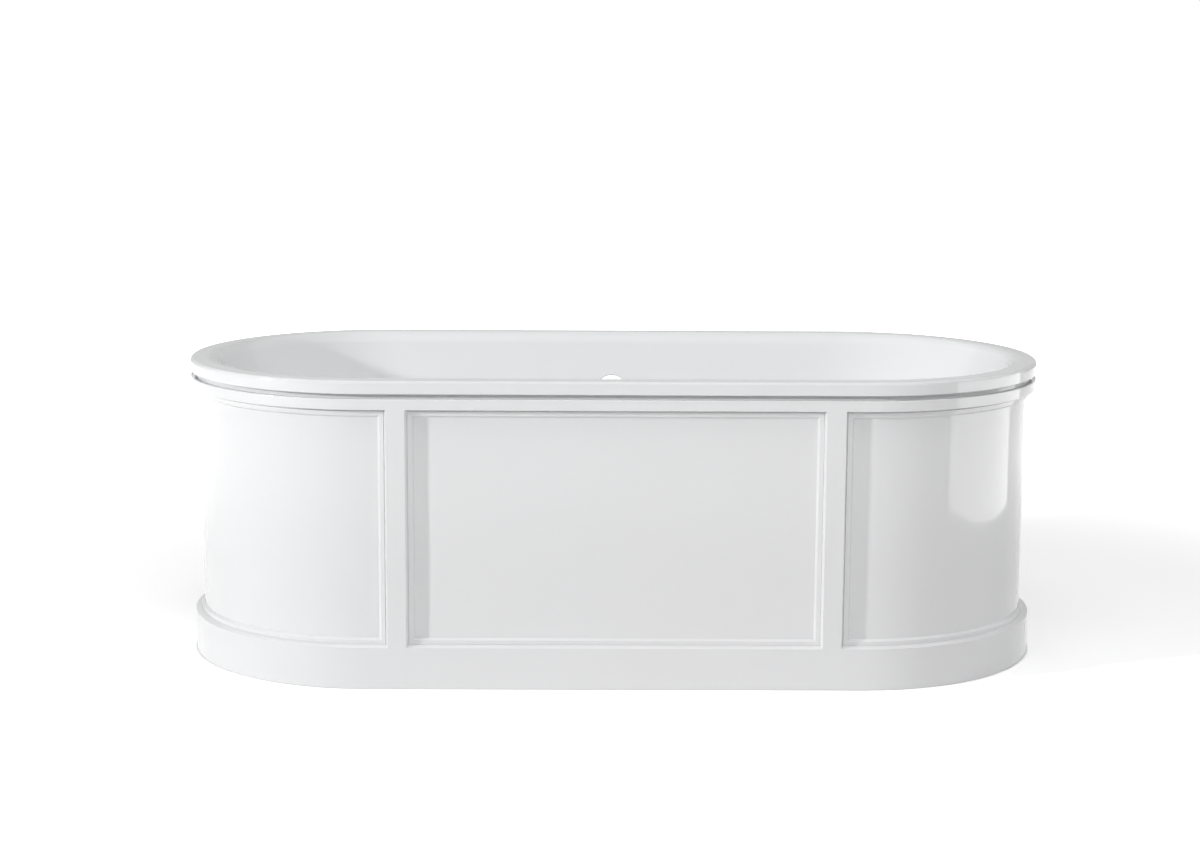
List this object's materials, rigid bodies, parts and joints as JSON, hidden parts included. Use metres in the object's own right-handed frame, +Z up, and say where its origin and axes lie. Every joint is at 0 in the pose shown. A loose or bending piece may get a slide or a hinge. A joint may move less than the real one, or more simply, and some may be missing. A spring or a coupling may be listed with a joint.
{
  "type": "bathtub",
  "caption": "Freestanding oval double-ended bath: a white enamelled shell set in a stepped-panel surround, on cradles with levelling feet.",
  "frame": {"origin": "centre of the footprint, on the floor", "axes": "+X along the length, +Y to the side with the overflow, +Z up"},
  "size_m": [1.77, 0.785, 0.62],
  "materials": {
    "shell_enamel": "high-gloss white vitreous enamel",
    "surround_gloss": "high-gloss white lacquer on a moulded composite",
    "rubber": "matt black",
    "cradle_paint": "satin black powder coat",
    "bracket_zinc": "bright zinc plate",
    "steel_fixings": "zinc-plated steel"
  },
  "bodies": {
    "bath": {"bath_shell": "shell_enamel", "bead_back": "surround_gloss", "bead_front": "surround_gloss", "bead_left": "surround_gloss", "bead_right": "surround_gloss", "cradle_bolts": "steel_fixings", "cradle_left": "cradle_paint", "cradle_pads": "rubber", "cradle_right": "cradle_paint", "end_cleats": "bracket_zinc", "foot_locknuts": "steel_fixings", "panel_back": "surround_gloss", "panel_clips": "surround_gloss", "panel_front": "surround_gloss", "panel_left": "surround_gloss", "panel_right": "surround_gloss", "plinth_stays": "bracket_zinc", "rim_cushion": "rubber", "stay_bolts": "steel_fixings", "surround_back": "surround_gloss", "surround_front": "surround_gloss", "surround_screws": "surround_gloss"},
    "foot_front_left": {"foot_stud_front_left": "steel_fixings"},
    "pad_front_left": {"foot_pad_front_left": "rubber"},
    "foot_front_right": {"foot_stud_front_right": "steel_fixings"},
    "pad_front_right": {"foot_pad_front_right": "rubber"},
    "foot_back_left": {"foot_stud_back_left": "steel_fixings"},
    "pad_back_left": {"foot_pad_back_left": "rubber"},
    "foot_back_right": {"foot_stud_back_right": "steel_fixings"},
    "pad_back_right": {"foot_pad_back_right": "rubber"}
  },
  "joints": [
    {"name": "foot_front_left_travel", "type": "slide", "parent": "bath", "child": "foot_front_left", "axis": [0, 0, 1], "range_m": [-0.01, 0.01]},
    {"name": "foot_front_right_travel", "type": "slide", "parent": "bath", "child": "foot_front_right", "axis": [0, 0, 1], "range_m": [-0.01, 0.01]},
    {"name": "foot_back_left_travel", "type": "slide", "parent": "bath", "child": "foot_back_left", "axis": [0, 0, 1], "range_m": [-0.01, 0.01]},
    {"name": "foot_back_right_travel", "type": "slide", "parent": "bath", "child": "foot_back_right", "axis": [0, 0, 1], "range_m": [-0.01, 0.01]},
    {"name": "foot_front_left_swivel", "type": "hinge", "parent": "foot_front_left", "child": "pad_front_left", "pos_m": [-0.3, -0.25, 0.009], "axis": [0, 0, 1], "continuous": true},
    {"name": "foot_front_right_swivel", "type": "hinge", "parent": "foot_front_right", "child": "pad_front_right", "pos_m": [0.3, -0.25, 0.009], "axis": [0, 0, 1], "continuous": true},
    {"name": "foot_back_left_swivel", "type": "hinge", "parent": "foot_back_left", "child": "pad_back_left", "pos_m": [-0.3, 0.25, 0.009], "axis": [0, 0, 1], "continuous": true},
    {"name": "foot_back_right_swivel", "type": "hinge", "parent": "foot_back_right", "child": "pad_back_right", "pos_m": [0.3, 0.25, 0.009], "axis": [0, 0, 1], "continuous": true}
  ]
}
